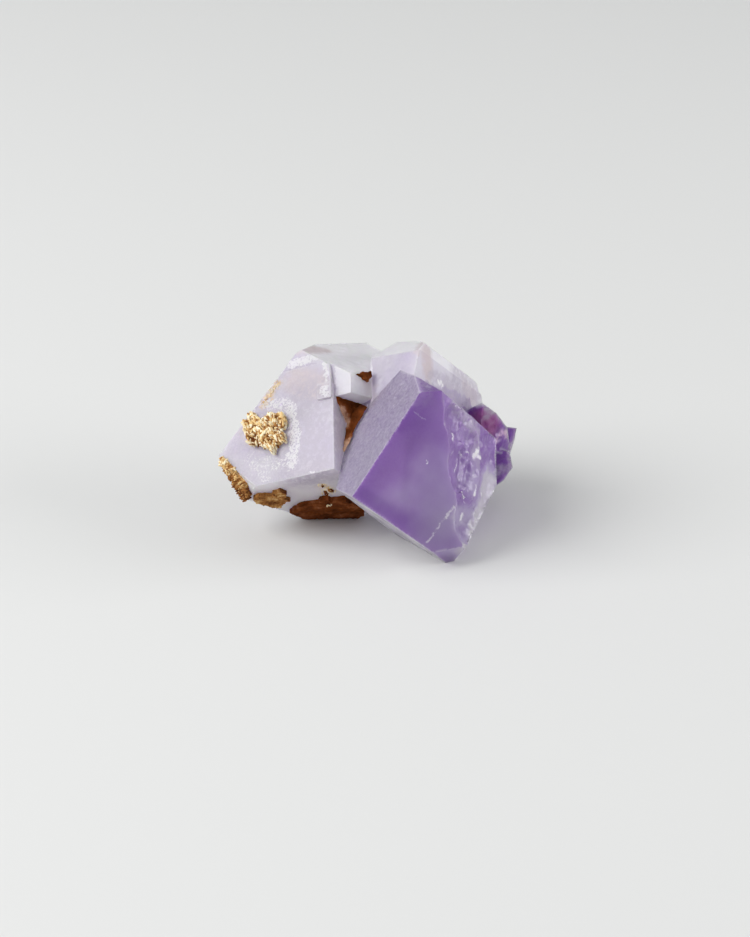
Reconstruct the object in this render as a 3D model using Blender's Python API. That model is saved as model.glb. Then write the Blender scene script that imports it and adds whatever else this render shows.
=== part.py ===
"""A cluster of grown-together fluorite cubes with rusty iron-oxide crusts.

One deep violet cube leans into a group of pale cubes that all grew in one
orientation. Cleavages, chips and a fractured side cut the cubes. Crusts sit
in the pocket between them, on their faces and under them. Lengths are in
millimetres until a shape becomes an object, +Z is up, and the cluster rests
on z = 0 with its origin under its middle.
"""

import math

import bmesh
import bpy
from mathutils import Euler, Matrix, Vector, noise

MM = 0.001
GAP = 0.3            # air between a crust and the crystal that carries it
HIDDEN_REACH = 80.0  # how far a cutter runs past what it cuts
SAME_POINT = 1e-5    # points this close to a cut lie on it

# A lattice is the orientation that cubes share where they grew in parallel:
# the corner that its distances start from, and its turn about X, Y and Z.
# In a lattice +X runs right, +Y away and +Z up, along the cube's own edges.
VIOLET_CORNER = (-16.8, -6.8, 16.05)
VIOLET_TURN = (-20.0, 41.5, 11.5)
PALE_CORNER = (-19.75, 1.15, 17.0)
PALE_TURN = (-45.5, -22.5, -19.0)

# A cut is a plane across a block: its direction in the block's lattice, and
# its reach, the value of X*dx + Y*dy + Z*dz on the plane.
VIOLET_HIGH = (27.0, 23.0, 22.8)
VIOLET_CUTS = (
    ((1, -2, 1), 26.0),             # the fractured side, towards the front
    ((1, -0.4, 0.74), 34.7),        # the same side, turned up and away
    ((1, -0.35, 0), 23.1),          # the same side, low and away
    ((1, -1.5, -1.14), 18.2),       # the broken tip
    ((-0.72, -0.46, 1), 20.4),      # the chipped top corner
    ((-0.5, 1, -0.86), 6.6),        # the rough underside behind the lower edge
)

CORNER_REACH = 15.3
LEFT_LOW = (-24.0, 0.0, 0.0)
LEFT_HIGH = (0.0, 21.0, 30.0)
LEFT_CUTS = (
    ((-1, -1, 1), 29.8),            # upper left cleavage
    ((-1, -1, -1), CORNER_REACH),   # lower left cleavage, under its crust
    ((-1, 1, -1), 31.0),            # lower back cleavage
    ((-1, 0.3, -0.2), 21.1),        # left side
    ((-0.3, -0.6, 1), 24.8),        # crown
    ((1, 0, 0.14), 1.8),            # worn upper right edge
)

# The left crystal's front stands back above a ledge, and carries one low nub.
LEDGE_LOW = (-12.0, -1.0, 19.7)
LEDGE_HIGH = (-1.4, 0.35, 27.0)
NUB_LOW = (-2.9, -0.4, 12.9)
NUB_HIGH = (-0.25, 1.0, 15.7)

STEP_LOW = (-4.0, 0.8, 13.3)
STEP_HIGH = (4.95, 7.0, 30.0)
STEP_CUTS = (((2.07, -1, 0), 5.35),)  # right side, slanting back
STEP_ROOT_LOW = (-4.0, 5.0, 13.3)
STEP_ROOT_HIGH = (2.97, 14.0, 30.0)

CREST_LOW = (-8.0, 4.8, 13.3)
CREST_HIGH = (8.0, 20.0, 30.0)
CREST_CUTS = (((1, 1, 0), 13.35),)  # right end of the crest

# One broken top runs across the left crystal, the step and the crest.
TOP_BREAKS = (
    ((0.71, -0.65, 1.0), 18.44),    # the broken slope
    ((-1.0, 0.2, 1.0), 32.9),       # down to the left
    ((0.5, 1.0, 0.6), 31.5),        # down behind the ridge
)

# The body behind the pocket that joins the left crystal to the right one.
BACK_LOW = (-2.0, 9.0, 1.5)
BACK_HIGH = (9.0, 23.0, 14.0)

RIGHT_LOW = (4.6, 3.0, 3.0)
RIGHT_HIGH = (14.6, 27.4, 25.0)
RIGHT_CUTS = (
    ((-0.12, -1, 0), -5.3),         # front face, a touch off the cube
    ((0, -1, 1), 15.9),             # front bevel
    ((-1, 0, 1), 16.5),             # left bevel
    ((0.34, 0, 1), 27.05),          # crown, falling to the right
    ((1, 0, 1), 36.0),              # right bevel
    ((1, 0, -0.25), 9.7),           # leaning right face
    ((0, 1, 1), 46.0),              # broken far end
)

# The splinters at the far right are sharp flakes of the violet crystal. A
# corner is given across, up and how far it slides back down a line of sight.
SPLINTER_Y = 19.0
SIGHT_SLOPE = -0.53                 # the drop for each millimetre away
SPLINTER_ROOT = (-9.0, 3.0, 0.5)    # from the outline's middle to the root
SPLINTER_BACK = (-3.0, 4.0, -1.2)   # from the outline to the flake's far side
SPLINTER_TAPER = 0.6
SPLINTERS = {
    "upper_splinter": ((5.2, 20.3, 0.0), (7.7, 18.4, 0.6), (9.8, 15.5, 1.5), (10.5, 10.4, 2.2),
                       (7.8, 10.6, -0.8), (5.0, 13.0, -1.0)),
    "barb_splinter": ((9.0, 15.8, 3.2), (11.6, 15.5, 4.4), (11.3, 13.2, 4.0), (10.4, 10.2, 3.1),
                      (8.4, 11.1, 2.4)),
    "lower_splinter": ((10.2, 11.0, 0.6), (10.9, 7.7, 1.5), (9.4, 5.1, 2.0), (8.0, 4.0, 1.6),
                       (6.6, 6.0, 0.3), (7.0, 11.6, -0.4)),
}

# Shell-shaped hollows on the fractured side: where, radius and depth.
SCOOPS = (
    ((14.0, 1.5, 14.0), 14.0, 0.7),
    ((19.0, 4.0, 6.0), 9.0, 0.9),
    ((8.5, 1.0, 20.5), 8.0, 0.6),
)

MATERIALS = {
    "violet": ((0.20, 0.10, 0.38, 1.0), 0.2),
    "pale": ((0.72, 0.68, 0.78, 1.0), 0.3),
    "dark_rust": ((0.14, 0.05, 0.02, 1.0), 0.9),
    "ochre": ((0.55, 0.33, 0.12, 1.0), 0.9),
}

# Crust outlines lie on a crystal face, across it and up it.
LUMP_CELLS = 1.8     # the width of a crust's lumps, in cells of its grid
CRUST_DEPTH = 4.0    # deeper than any crust is thick
GOLD_OUTLINE = (
    (-16.9, 11.6), (-15.6, 13.0), (-13.6, 11.4), (-12.1, 12.0), (-9.1, 11.5), (-8.9, 9.6),
    (-9.9, 8.7), (-9.1, 6.7), (-10.9, 6.6), (-11.4, 5.1), (-12.1, 6.2), (-15.6, 7.6), (-16.4, 9.0),
)
CORNER_OUTLINE = (
    (2.6, 1.1), (5.2, 0.2), (7.2, -0.4), (9.4, -0.4), (9.2, 0.5), (3.4, 4.9), (2.4, 4.6), (1.6, 2.6),
)
NOTCH_OUTLINE = ((1.3, 16.8), (2.7, 17.45), (3.85, 17.6), (3.85, 16.9), (3.3, 15.8), (2.7, 16.1), (2.1, 16.6))
UNDER_OUTLINE = (
    (-18.3, -4.2), (-17.2, -3.0), (-16.1, -2.9), (-14.6, -4.1), (-13.6, -2.9), (-12.1, -2.9),
    (-11.9, -4.6), (-13.4, -6.2), (-13.0, -7.5), (-14.4, -8.0), (-16.1, -9.6), (-17.3, -8.4),
    (-18.1, -6.0),
)
FOOT_OUTLINE = (
    (-15.9, -12.4), (-12.6, -10.2), (-10.3, -10.6), (-9.1, -11.0), (-8.7, -9.8), (-6.9, -9.7),
    (-7.0, -11.0), (-4.9, -11.9), (-4.6, -14.1), (-4.3, -17.4), (-6.0, -20.4), (-9.4, -21.2),
    (-12.4, -19.6), (-15.0, -16.4),
)

# The limonite in the pocket fills the corner between the left crystal, the
# step above and the violet crystal: its deepest point, its front and its rim.
POCKET_APEX = (0.34, 6.19, 12.96)
POCKET_FRONT = (1.36, 4.82, 11.92)
POCKET_RELIEF = 0.25
POCKET_RIM = (
    (0.34, 0.66, 12.96), (1.14, 2.45, 12.96), (1.95, 4.73, 12.96), (2.16, 5.48, 12.96),
    (3.97, 4.27, 11.61), (2.79, 4.08, 9.90), (1.67, 3.80, 8.00), (1.15, 3.14, 5.72),
    (0.34, 2.87, 4.15), (0.34, 3.38, 6.17), (0.34, 4.31, 9.56), (0.34, 2.26, 11.00),
)


def clear_scene():
    """Remove every object that the file opened with."""
    for old in list(bpy.data.objects):
        bpy.data.objects.remove(old, do_unlink=True)


def turned(place_at, turn):
    """A rotation and a place as one matrix, from millimetres and degrees."""
    angles = [math.radians(angle) for angle in turn]
    return Matrix.Translation(Vector(place_at) * MM) @ Euler(angles).to_matrix().to_4x4()


VIOLET = turned(VIOLET_CORNER, VIOLET_TURN)
PALE = turned(PALE_CORNER, PALE_TURN)


def material(name):
    """A plain material with the colour and roughness that the table gives."""
    found = bpy.data.materials.get(name)
    if found:
        return found
    colour, roughness = MATERIALS[name]
    made = bpy.data.materials.new(name)
    made.use_nodes = True
    shader = made.node_tree.nodes["Principled BSDF"]
    shader.inputs["Base Color"].default_value = colour
    shader.inputs["Roughness"].default_value = roughness
    return made


def new_object(name, shape, finish, place, helper=False):
    """Turn a shape in millimetres into an object in metres at its place."""
    bmesh.ops.recalc_face_normals(shape, faces=shape.faces)
    bmesh.ops.scale(shape, vec=(MM, MM, MM), verts=shape.verts)
    mesh = bpy.data.meshes.new(name)
    shape.to_mesh(mesh)
    shape.free()
    mesh.materials.append(material(finish))
    made = bpy.data.objects.new(name, mesh)
    bpy.context.collection.objects.link(made)
    made.matrix_world = place
    made.hide_render = helper
    if helper:
        made.display_type = "WIRE"
    return made


def combine(target, tool, operation):
    """Join, cut or trim the target with another object, live."""
    step = target.modifiers.new(operation.lower() + "_" + tool.name, "BOOLEAN")
    step.operation = operation
    step.solver = "EXACT"
    step.object = tool


def slice_off(shape, direction, reach, grow=0.0):
    """Cut away what stands past a plane, and close the cut with a flat face."""
    normal = Vector(direction)
    point = normal * (reach / normal.length_squared) + normal.normalized() * grow
    parts = shape.verts[:] + shape.edges[:] + shape.faces[:]
    cut = bmesh.ops.bisect_plane(shape, geom=parts, dist=SAME_POINT, plane_co=point,
                                 plane_no=normal, clear_outer=True)
    rim = [part for part in cut["geom_cut"] if isinstance(part, bmesh.types.BMEdge)]
    if rim:
        bmesh.ops.holes_fill(shape, edges=rim)


def block(name, place, low, high, cuts, finish, grow=0.0, helper=True):
    """A block between two corners of a lattice, cut by planes."""
    margin = Vector((grow, grow, grow))
    low = Vector(low) - margin
    high = Vector(high) + margin
    shape = bmesh.new()
    bmesh.ops.create_cube(shape, size=1.0)
    bmesh.ops.scale(shape, vec=high - low, verts=shape.verts)
    bmesh.ops.translate(shape, vec=(low + high) / 2, verts=shape.verts)
    for direction, reach in cuts:
        slice_off(shape, direction, reach, grow)
    return new_object(name, shape, finish, place, helper)


def violet_block(name, grow=0.0):
    """The violet cube, or the room that it takes with a margin around it."""
    return block(name, VIOLET, (0, 0, 0), VIOLET_HIGH, VIOLET_CUTS, "violet", grow)


def splinter(name, outline):
    """A flake: the hull of its outline, its smaller far side and its root."""
    shape = bmesh.new()
    corners = [shape.verts.new((across, SPLINTER_Y + back, up + SIGHT_SLOPE * back))
               for across, up, back in outline]
    middle = sum((corner.co for corner in corners), Vector()) / len(corners)
    for corner in corners:
        shape.verts.new(middle.lerp(corner.co, SPLINTER_TAPER) + Vector(SPLINTER_BACK))
    shape.verts.new(middle + Vector(SPLINTER_ROOT))
    bmesh.ops.convex_hull(shape, input=shape.verts)
    return new_object(name, shape, "violet", Matrix.Identity(4), helper=True)


def beyond(name, place, direction, reach):
    """A helper box over everything that stands past a plane."""
    normal = Vector(direction)
    turn = Vector((0, 0, 1)).rotation_difference(normal).to_matrix().to_4x4()
    shape = bmesh.new()
    bmesh.ops.create_cube(shape, size=2 * HIDDEN_REACH)
    bmesh.ops.translate(shape, vec=(0, 0, HIDDEN_REACH), verts=shape.verts)
    bmesh.ops.transform(shape, matrix=turn, verts=shape.verts)
    bmesh.ops.translate(shape, vec=normal * (reach / normal.length_squared), verts=shape.verts)
    return new_object(name, shape, "pale", place, helper=True)


def scoop(name, centre, radius, depth):
    """A helper ball that bites a shell-shaped hollow into the fractured side."""
    direction, reach = VIOLET_CUTS[0]
    outward = Vector(direction).normalized()
    spot = Vector(centre)
    spot += outward * (reach / Vector(direction).length - spot.dot(outward) + radius - depth)
    shape = bmesh.new()
    bmesh.ops.create_icosphere(shape, subdivisions=4, radius=radius)
    bmesh.ops.translate(shape, vec=spot, verts=shape.verts)
    return new_object(name, shape, "violet", VIOLET, helper=True)


def crystals(ground):
    """The grown-together crystals as one solid."""
    made = block("fluorite_crystals", PALE, LEFT_LOW, LEFT_HIGH, LEFT_CUTS, "pale", helper=False)
    combine(made, block("ledge", PALE, LEDGE_LOW, LEDGE_HIGH, (), "pale"), "DIFFERENCE")
    combine(made, block("nub", PALE, NUB_LOW, NUB_HIGH, (), "pale"), "UNION")
    combine(made, block("step", PALE, STEP_LOW, STEP_HIGH, STEP_CUTS, "pale"), "UNION")
    combine(made, block("step_root", PALE, STEP_ROOT_LOW, STEP_ROOT_HIGH, (), "pale"), "UNION")
    combine(made, block("crest", PALE, CREST_LOW, CREST_HIGH, CREST_CUTS, "pale"), "UNION")
    combine(made, block("back", PALE, BACK_LOW, BACK_HIGH, (), "pale"), "UNION")
    for number, (direction, reach) in enumerate(TOP_BREAKS):
        combine(made, beyond(f"top_break_{number}", PALE, direction, reach), "DIFFERENCE")
    combine(made, block("right", PALE, RIGHT_LOW, RIGHT_HIGH, RIGHT_CUTS, "pale"), "UNION")
    combine(made, violet_block("violet"), "UNION")
    for name, outline in SPLINTERS.items():
        combine(made, splinter(name, outline), "UNION")
    for number, (centre, radius, depth) in enumerate(SCOOPS):
        combine(made, scoop(f"scoop_{number}", centre, radius, depth), "DIFFERENCE")
    combine(made, ground, "DIFFERENCE")
    return made


def on_face(origin, across, outward):
    """The frame of a pale crystal's face: X across it, Y up it, Z out of it."""
    across = Vector(across).normalized()
    outward = Vector(outward).normalized()
    columns = Matrix((across, outward.cross(across), outward)).transposed()
    return PALE @ Matrix.Translation(Vector(origin) * MM) @ columns.to_4x4()


def slab(outline, cell, rise, relief, seed):
    """A slab over an outline's box, with a lumpy top."""
    across, up = zip(*outline)
    width = max(across) - min(across) + 2 * cell
    height = max(up) - min(up) + 2 * cell
    middle = ((max(across) + min(across)) / 2, (max(up) + min(up)) / 2, GAP)
    shape = bmesh.new()
    bmesh.ops.create_grid(shape, x_segments=round(width / cell), y_segments=round(height / cell), size=0.5)
    bmesh.ops.scale(shape, vec=(width, height, 1.0), verts=shape.verts)
    bmesh.ops.translate(shape, vec=middle, verts=shape.verts)
    lifted = bmesh.ops.extrude_face_region(shape, geom=shape.faces[:])["geom"]
    for part in lifted:
        if isinstance(part, bmesh.types.BMVert):
            sample = Vector((part.co.x, part.co.y, seed)) / (LUMP_CELLS * cell)
            part.co.z += rise + relief * noise.noise(sample)
    return shape


def prism(name, outline, place, depth):
    """A helper prism over an outline."""
    shape = bmesh.new()
    corners = [shape.verts.new((across, up, 0.0)) for across, up in outline]
    face = shape.faces.new(corners)
    raised = bmesh.ops.extrude_face_region(shape, geom=[face])["geom"]
    tops = [part for part in raised if isinstance(part, bmesh.types.BMVert)]
    bmesh.ops.translate(shape, vec=(0, 0, depth), verts=tops)
    return new_object(name, shape, "ochre", place, helper=True)


def crust(name, finish, place, outline, cell, rise, relief, seed):
    """A lumpy crust that lies on a crystal face inside an outline."""
    made = new_object(name, slab(outline, cell, rise, relief, seed), finish, place)
    combine(made, prism(name + "_outline", outline, place, CRUST_DEPTH), "INTERSECT")
    return made


def pocket_limonite():
    """The lumpy limonite in the corner of the pocket."""
    shape = bmesh.new()
    front = shape.verts.new(POCKET_FRONT)
    rim = [shape.verts.new(corner) for corner in POCKET_RIM]
    for corner, after in zip(rim, rim[1:] + rim[:1]):
        shape.faces.new((front, corner, after))
    bmesh.ops.subdivide_edges(shape, edges=shape.edges[:], cuts=3, use_grid_fill=True)
    outward = Vector(POCKET_FRONT) - Vector(POCKET_APEX)
    for vertex in shape.verts:
        if not vertex.is_boundary:
            vertex.co += outward * (POCKET_RELIEF * noise.noise(vertex.co))
    edges = [edge for edge in shape.edges if edge.is_boundary]
    apex = shape.verts.new(POCKET_APEX)
    for edge in edges:
        shape.faces.new((*edge.verts, apex))
    return new_object("pocket_limonite", shape, "dark_rust", PALE)


def centre_everything():
    """Hang every object from one point, so that the origin is under the middle."""
    bpy.context.view_layer.update()
    graph = bpy.context.evaluated_depsgraph_get()
    pieces = list(bpy.data.objects)
    points = []
    for piece in pieces:
        if not piece.hide_render:
            solid = piece.evaluated_get(graph).to_mesh()
            points += [piece.matrix_world @ vertex.co for vertex in solid.vertices]
    across, away, _up = zip(*points)
    cluster = bpy.data.objects.new("cluster", None)
    cluster.location = (-(min(across) + max(across)) / 2, -(min(away) + max(away)) / 2, 0.0)
    bpy.context.collection.objects.link(cluster)
    for piece in pieces:
        piece.parent = cluster


clear_scene()
ground = beyond("ground", Matrix.Identity(4), (0, 0, -1), 0.0)
crystals(ground)
FRONT_FACE = on_face((0, 0, 0), (1, 0, 0), (0, -1, 0))
LOWER_FACE = on_face((0, 0, 0), (1, 0, 0), (0, 0, -1))
CORNER_FACE = on_face((-CORNER_REACH, 0, 0), (-1, 0, 1), (-1, -1, -1))
NOTCH_FACE = on_face((2.97, STEP_LOW[1], 0), (1, 2.07, 0), (2.07, -1, 0))
crust("golden_crust", "ochre", FRONT_FACE, GOLD_OUTLINE, cell=0.6, rise=0.9, relief=0.7, seed=3)
crust("corner_crust", "ochre", CORNER_FACE, CORNER_OUTLINE, cell=0.6, rise=0.5, relief=0.4, seed=11)
crust("underside_crust", "ochre", LOWER_FACE, UNDER_OUTLINE, cell=0.8, rise=0.35, relief=0.25, seed=23)
crust("notch_crust", "dark_rust", NOTCH_FACE, NOTCH_OUTLINE, cell=0.5, rise=0.35, relief=0.25, seed=5)
foot = crust("foot_crust", "dark_rust", LOWER_FACE, FOOT_OUTLINE, cell=0.9, rise=0.5, relief=0.3, seed=31)
combine(foot, violet_block("clearance", GAP), "DIFFERENCE")
combine(foot, ground, "DIFFERENCE")
pocket_limonite()
centre_everything()
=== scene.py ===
"""Dresses a cluster of grown-together fluorite cubes.

The crystals get worn edges, a fractured side, frosted faces and a see-through
finish. The crusts become heaps of ochre grains and lumps of matte limonite.
Lengths are in millimetres until they reach a mesh, which is in metres.
"""

import math
import random

import bmesh
import bpy
from mathutils import Euler, Matrix, Vector, noise


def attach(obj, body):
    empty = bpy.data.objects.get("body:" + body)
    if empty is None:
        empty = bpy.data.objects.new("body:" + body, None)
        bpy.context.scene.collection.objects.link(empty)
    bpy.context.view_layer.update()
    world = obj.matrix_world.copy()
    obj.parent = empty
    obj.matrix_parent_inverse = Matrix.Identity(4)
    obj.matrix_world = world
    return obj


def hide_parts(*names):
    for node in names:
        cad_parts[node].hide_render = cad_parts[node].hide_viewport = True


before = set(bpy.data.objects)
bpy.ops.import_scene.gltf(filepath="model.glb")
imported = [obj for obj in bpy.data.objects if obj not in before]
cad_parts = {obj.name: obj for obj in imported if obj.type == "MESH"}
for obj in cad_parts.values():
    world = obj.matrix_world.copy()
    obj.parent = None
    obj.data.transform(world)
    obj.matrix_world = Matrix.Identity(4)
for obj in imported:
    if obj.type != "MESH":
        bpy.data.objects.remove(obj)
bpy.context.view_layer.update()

# Bends and jags come out the same in every run.
noise.seed_set(7)

bl_info = {
    "name": "Fluorite cluster",
    "version": (1, 0, 0),
    "blender": (4, 5, 0),
    "location": "3D View > Sidebar > Fluorite",
    "description": "Finishes a cluster of fluorite crystals and its rusty crusts",
    "category": "Object",
}

MM = 0.001
GAP = 0.3  # between a crust and the crystal that carries it
SUNK = 0.08  # how far a crust's underside reaches into that crystal
RAGGED = 0.3  # how far a crust's outline wanders
MERGE = 0.004  # gaps smaller than this count as none
ON_TABLE = 0.02  # points lower than this stay where they are
OFF_CUBE = 0.06  # points further out than this are not on the violet cube
ON_PLANE = 0.05  # points nearer to a plane than this lie on it
FACING = 0.985  # cosine above which a face lies along a lattice plane
SOFT_EDGE = 0.965  # cosine above which facets run into each other
HARD_EDGE = 0.9  # cosine below which an edge gets a painted highlight

# A lattice is the orientation that cubes share: the corner that its distances
# start from, and its turn. +X runs right, +Y away and +Z up along the cube.
VIOLET_CORNER = (-2.798, -19.523, 16.05)
VIOLET_TURN = (-20, 41.5, 11.5)
PALE_CORNER = (-5.748, -11.573, 17)
PALE_TURN = (-45.5, -22.5, -19)

# The planes of the violet cube: direction, reach and finish. A finish is how
# violet and frosted a facet is, how flaked, and its relief's height and cell.
VIOLET_FACETS = {
    "dark": ((0, -1, 0), 0, (0.8, 0.05, 0, 0.012, 2.5)),
    "strip": ((-1, 0, 0), 0, (0.36, 0.85, 0, 0.06, 0.6)),
    # The base facet is paler than the faces beside it: partly its own pinkish-white rim, partly painted
    # light on a face that lies in shadow.
    "base": ((0, 0, -1), 0, (0.15, 0.3, 0.1, 0.05, 0.9)),
    "far": ((0, 1, 0), 23, (0.55, 0.35, 0.1, 0.1, 1.2)),
    "crown": ((0, 0, 1), 22.8, (0.5, 0.35, 0.1, 0.06, 1)),
    "right": ((1, 0, 0), 27, (0.5, 0.35, 0.1, 0.1, 1.2)),
    "side": ((1, -2, 1), 26, (0.43, 0.22, 0.5, 0.28, 1.9)),
    "side_up": ((1, -0.4, 0.74), 34.7, (0.45, 0.25, 0.4, 0.22, 1.5)),
    "side_low": ((1, -0.35, 0), 23.1, (0.45, 0.25, 0.3, 0.18, 1.5)),
    "tip": ((1, -1.5, -1.14), 18.2, (0.4, 0.03, 0.05, 0.04, 1.4)),
    "chip": ((-0.72, -0.46, 1), 20.4, (0.35, 0.35, 0.5, 0.12, 0.8)),
    "rough_base": ((-0.5, 1, -0.86), 6.6, (0.45, 0.5, 0.3, 0.28, 1.1)),
}
# Finishes of the facets that lie on none of those planes.
SCOOP_FACET = (0.45, 0.2, 0.5, 0.24, 1.6)
SPLINTER_FACET = (0.92, 0.05, 0.15, 0.2, 1)
# On the pale crystal the violet depths below follow how the lamps fall, partly the crystal's own tone and
# partly painted shade and painted light: deeper on the front, shaded and step facets that face the key
# lamp, palest on the cube and break facets in shade and in the recess.
FRONT_FACET = (0.27, 0.3, 0, 0.04, 0.8)
CUBE_FACET = (0.02, 0.3, 0, 0.04, 0.8)
SHADED_FACET = (0.28, 0.3, 0, 0.05, 0.8)
STEP_FACET = (0.14, 0.3, 0, 0.05, 0.8)
BREAK_FACET = (0, 0.25, 0.2, 0.14, 1.6)
RIDGE_FACET = (0.15, 0.25, 0.2, 0.14, 1.6)
GROUND_FACET = (0.1, 0.4, 0, 0, 1)
BROKEN = ("violet_side", "violet_scoop", "violet_side_up", "violet_side_low")
STEPPED = (*BROKEN, "break", "splinter")
UNWORN = {"violet_dark", "violet_chip", *BROKEN}  # they meet in a clean edge

# Thin lines in the violet lattice: the points that each runs between, its
# width and its strength. These are white cracks and flakes.
CRACKS = (
    ((14.3, 3, 17.3), (14.2, 2.2, 14.5), 0.36, 0.9),
    ((14.2, 2.2, 14.5), (14.4, 1.6, 13.2), 0.24, 0.95),
    ((13.2, 2.4, 17.2), (15.6, 3.7, 17.4), 0.3, 0.5),
    ((16, 2.1, 13), (17.2, 1.3, 11.3), 0.22, 1),
    ((17.2, 1.3, 11.3), (19.4, 2.2, 10.1), 0.22, 1),
    ((16.9, 0, 8.3), (16.5, 0, 5.3), 0.26, 0.6),
    ((16.5, 0, 5.3), (16.3, 0, 1), 0.24, 0.5),
    ((17.6, 5.3, 19.1), (17.2, 4.4, 17.6), 0.6, 1),
    ((17.2, 4.4, 17.6), (19, 5.5, 18.1), 0.55, 1),
    ((20.1, 3.9, 13.7), (20.7, 3.4, 12.2), 0.42, 0.9),
    ((22.5, 5, 13.7), (22.6, 5, 13.2), 0.4, 0.8),
    ((20, 2.1, 8.3), (20.1, 1.7, 7.2), 0.46, 0.8),
    ((7, 0, 18.6), (8.2, 0.2, 18), 0.2, 0.22),
    ((10, 1.2, 18.2), (10.3, 0.9, 17.4), 0.42, 0.8),
    ((8, 0, 11.9), (8.2, 0, 11.6), 0.28, 1),
    ((0.9, 0, 17.3), (3.6, 0, 17.2), 0.16, 0.22),
    ((12.9, 4.6, 22.1), (15.1, 5, 21), 0.5, 0.55),
    ((15.1, 5, 21), (17.6, 5.4, 19.1), 0.5, 0.55),
)

# Folds of the fractured side, in the violet lattice: the line that each runs
# along, its height and how far it reaches to both sides.
FOLDS = (
    ((7, 2.2, 22.6), (12.9, 4.6, 22.1), 0.45, 1.6),
    ((12.9, 4.6, 22.1), (17.6, 5.4, 19.1), 0.55, 2.2),
    ((17.6, 5.4, 19.1), (19.6, 4.3, 14.6), 0.5, 2.6),
    ((19.6, 4.3, 14.6), (20.1, 1.9, 7.5), 0.4, 2.4),
    ((14.3, 3, 17.3), (15.8, 2.1, 13.2), -0.35, 1.2),
    ((22.5, 8, 19.5), (24.6, 5.6, 12.8), -0.35, 2.4),
)

# Worn edges of the pale and of the violet crystals, each in its own lattice:
# the line, the depth and the reach.
BATTERED = (
    ((14.6, 16.5, 20.4), (14.6, 21, 20.1), 0.45, 1.6),
    ((14.6, 22.5, 20.4), (14.5, 25.3, 18.6), 0.7, 2.2),
    ((-9.8, 0.35, 20.1), (-12.5, 0, 18), 0.35, 1.4),
    ((-17.5, 0, 10.5), (-14.5, 0, 15), 0.25, 1.2),
)
CHIPPED = (
    ((0, 0, 3), (0, 0, 9), 0.16, 1),
    ((0, 0, 9), (0.4, 0.2, 20.6), 0.34, 1.2),
    ((0, 0, 19.6), (1.2, 0, 21), 0.4, 1.4),
)

# Soft patches on the facets: what they add, the line they lie along, how far
# they reach from it and how strong they are. Warm is pinkish beige, chalk is
# white, and one chalk patch on the pale ridge is a painted glint; rust is an
# ochre stain, rose a rosy one, grey is dull, pink is a bright flake, deep
# darkens the violet, glow lightens it as a painted glow of light shining
# through the crystal, and mauve dulls it.
VIOLET_PATCHES = {
    "deep": (
        ((11.6, 5, 24.2), (14, 5.6, 23.2), 1.5, 0.7), ((0, 3, 20.5), (0, 9, 18.5), 5, 0.2),
    ),
    # Painted glow: paler violet where light shines through the crystal.
    "glow": (
        ((23.6, 6.8, 15.6), (24.8, 6.2, 12.6), 4.4, 0.85), ((24.8, 6.2, 12.6), (24.4, 3, 7.6), 3.6, 0.9),
        ((17.5, 4.6, 18.4), (19.8, 4.2, 13), 2.2, 0.35), ((19, 0.8, 7.6), (21.8, 2.6, 8.6), 2.8, 0.55),
    ),
    "warm": (((0, 12, 7.6), (0, 13.9, 11), 1, 0.8),),
    "chalk": (
        ((0, 13.4, 9.6), (0, 14, 15), 0.9, 0.7), ((0, 11.4, 7), (0, 13, 12), 1.2, 0.35),
        ((5.5, 1.4, 22.6), (12, 3.9, 22.6), 1, 0.6), ((14.6, 4.4, 20.3), (18.4, 5.6, 19.5), 1.1, 0.35),
        ((20.6, 3.6, 13), (20.2, 1.9, 7.6), 0.9, 0.35),
    ),
    "grey": (
        ((0, 3, 20.5), (0, 10, 18), 5, 0.4), ((7, 2.4, 22.6), (15.5, 5.4, 21.4), 2, 0.55),
        ((15.5, 5.2, 21.2), (18.4, 5, 16.8), 1.8, 0.45),
    ),
    "rose": (((0, 13.6, 13), (-0.2, 12.6, 19.6), 1.9, 0.75),),
}
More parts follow.
